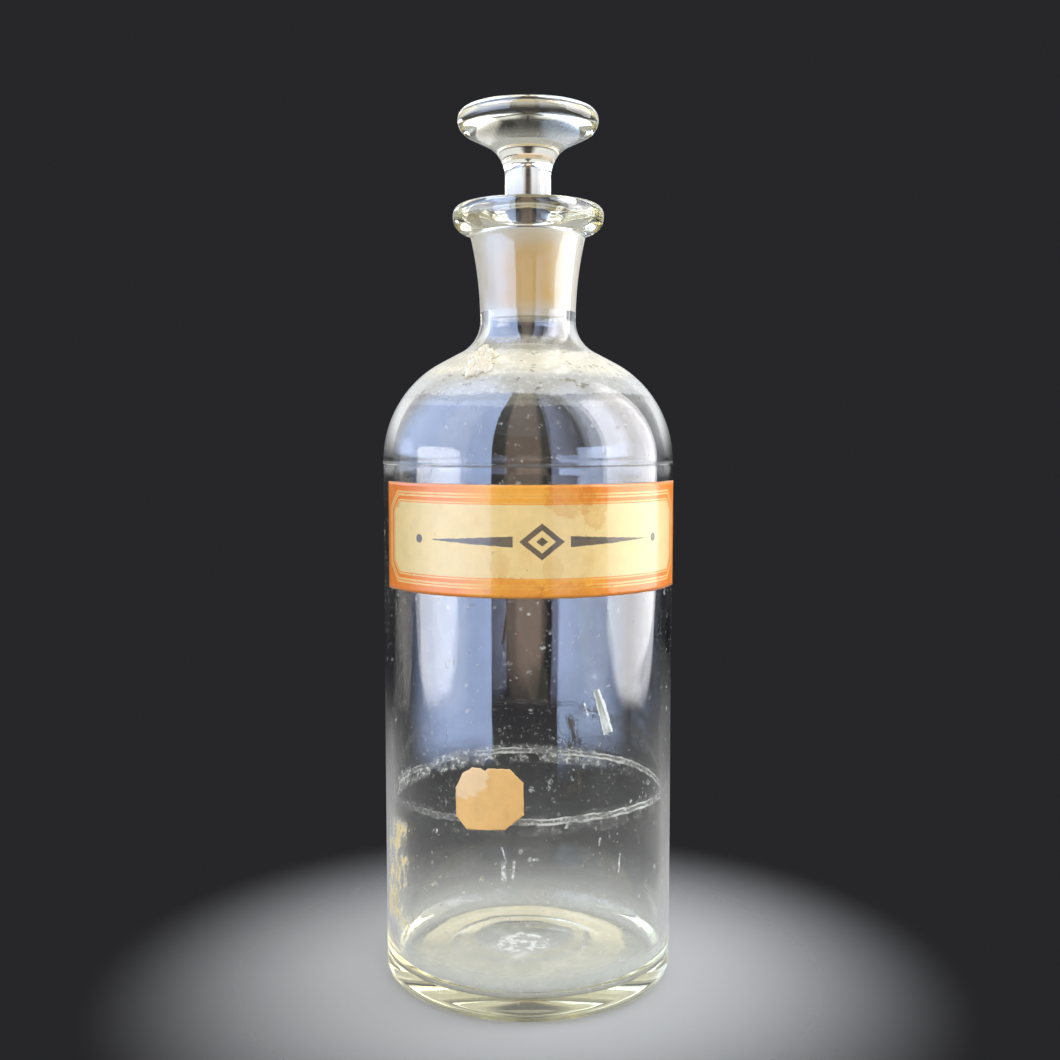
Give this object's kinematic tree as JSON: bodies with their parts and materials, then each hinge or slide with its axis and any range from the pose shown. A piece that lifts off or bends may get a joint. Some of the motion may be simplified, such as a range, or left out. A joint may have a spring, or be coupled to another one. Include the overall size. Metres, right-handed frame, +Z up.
{
  "type": "reagent bottle",
  "caption": "Round-shouldered clear glass reagent bottle with a flared lip, a ground mushroom stopper that lifts out, and an aged paper label and tag.",
  "frame": {"origin": "centre of the ring that the bottle stands on", "axes": "+Z up along the bottle's axis, the label faces -Y, +X is to the right as seen from the front"},
  "size_m": [0.0904, 0.0904, 0.2697],
  "materials": {
    "bottle_glass": "clear blown glass, slightly wavy",
    "stopper_glass": "clear pressed glass with a ground plug",
    "label_paper": "aged, varnished and stained",
    "tag_paper": "aged, matt",
    "scrap_paper": "torn, thin",
    "deposit": "dried, chalky",
    "wax": "cloudy wax"
  },
  "bodies": {
    "bottle": {"bottle": "bottle_glass", "label": "label_paper", "tag": "tag_paper", "scrap": "scrap_paper", "tide_ring": "deposit", "floor_film": "deposit", "wax_drip": "wax"},
    "stopper": {"stopper": "stopper_glass"}
  },
  "joints": [
    {"name": "stopper_lift", "type": "slide", "parent": "bottle", "child": "stopper", "axis": [0, 0, 1], "range_m": [0, 0.055]}
  ]
}
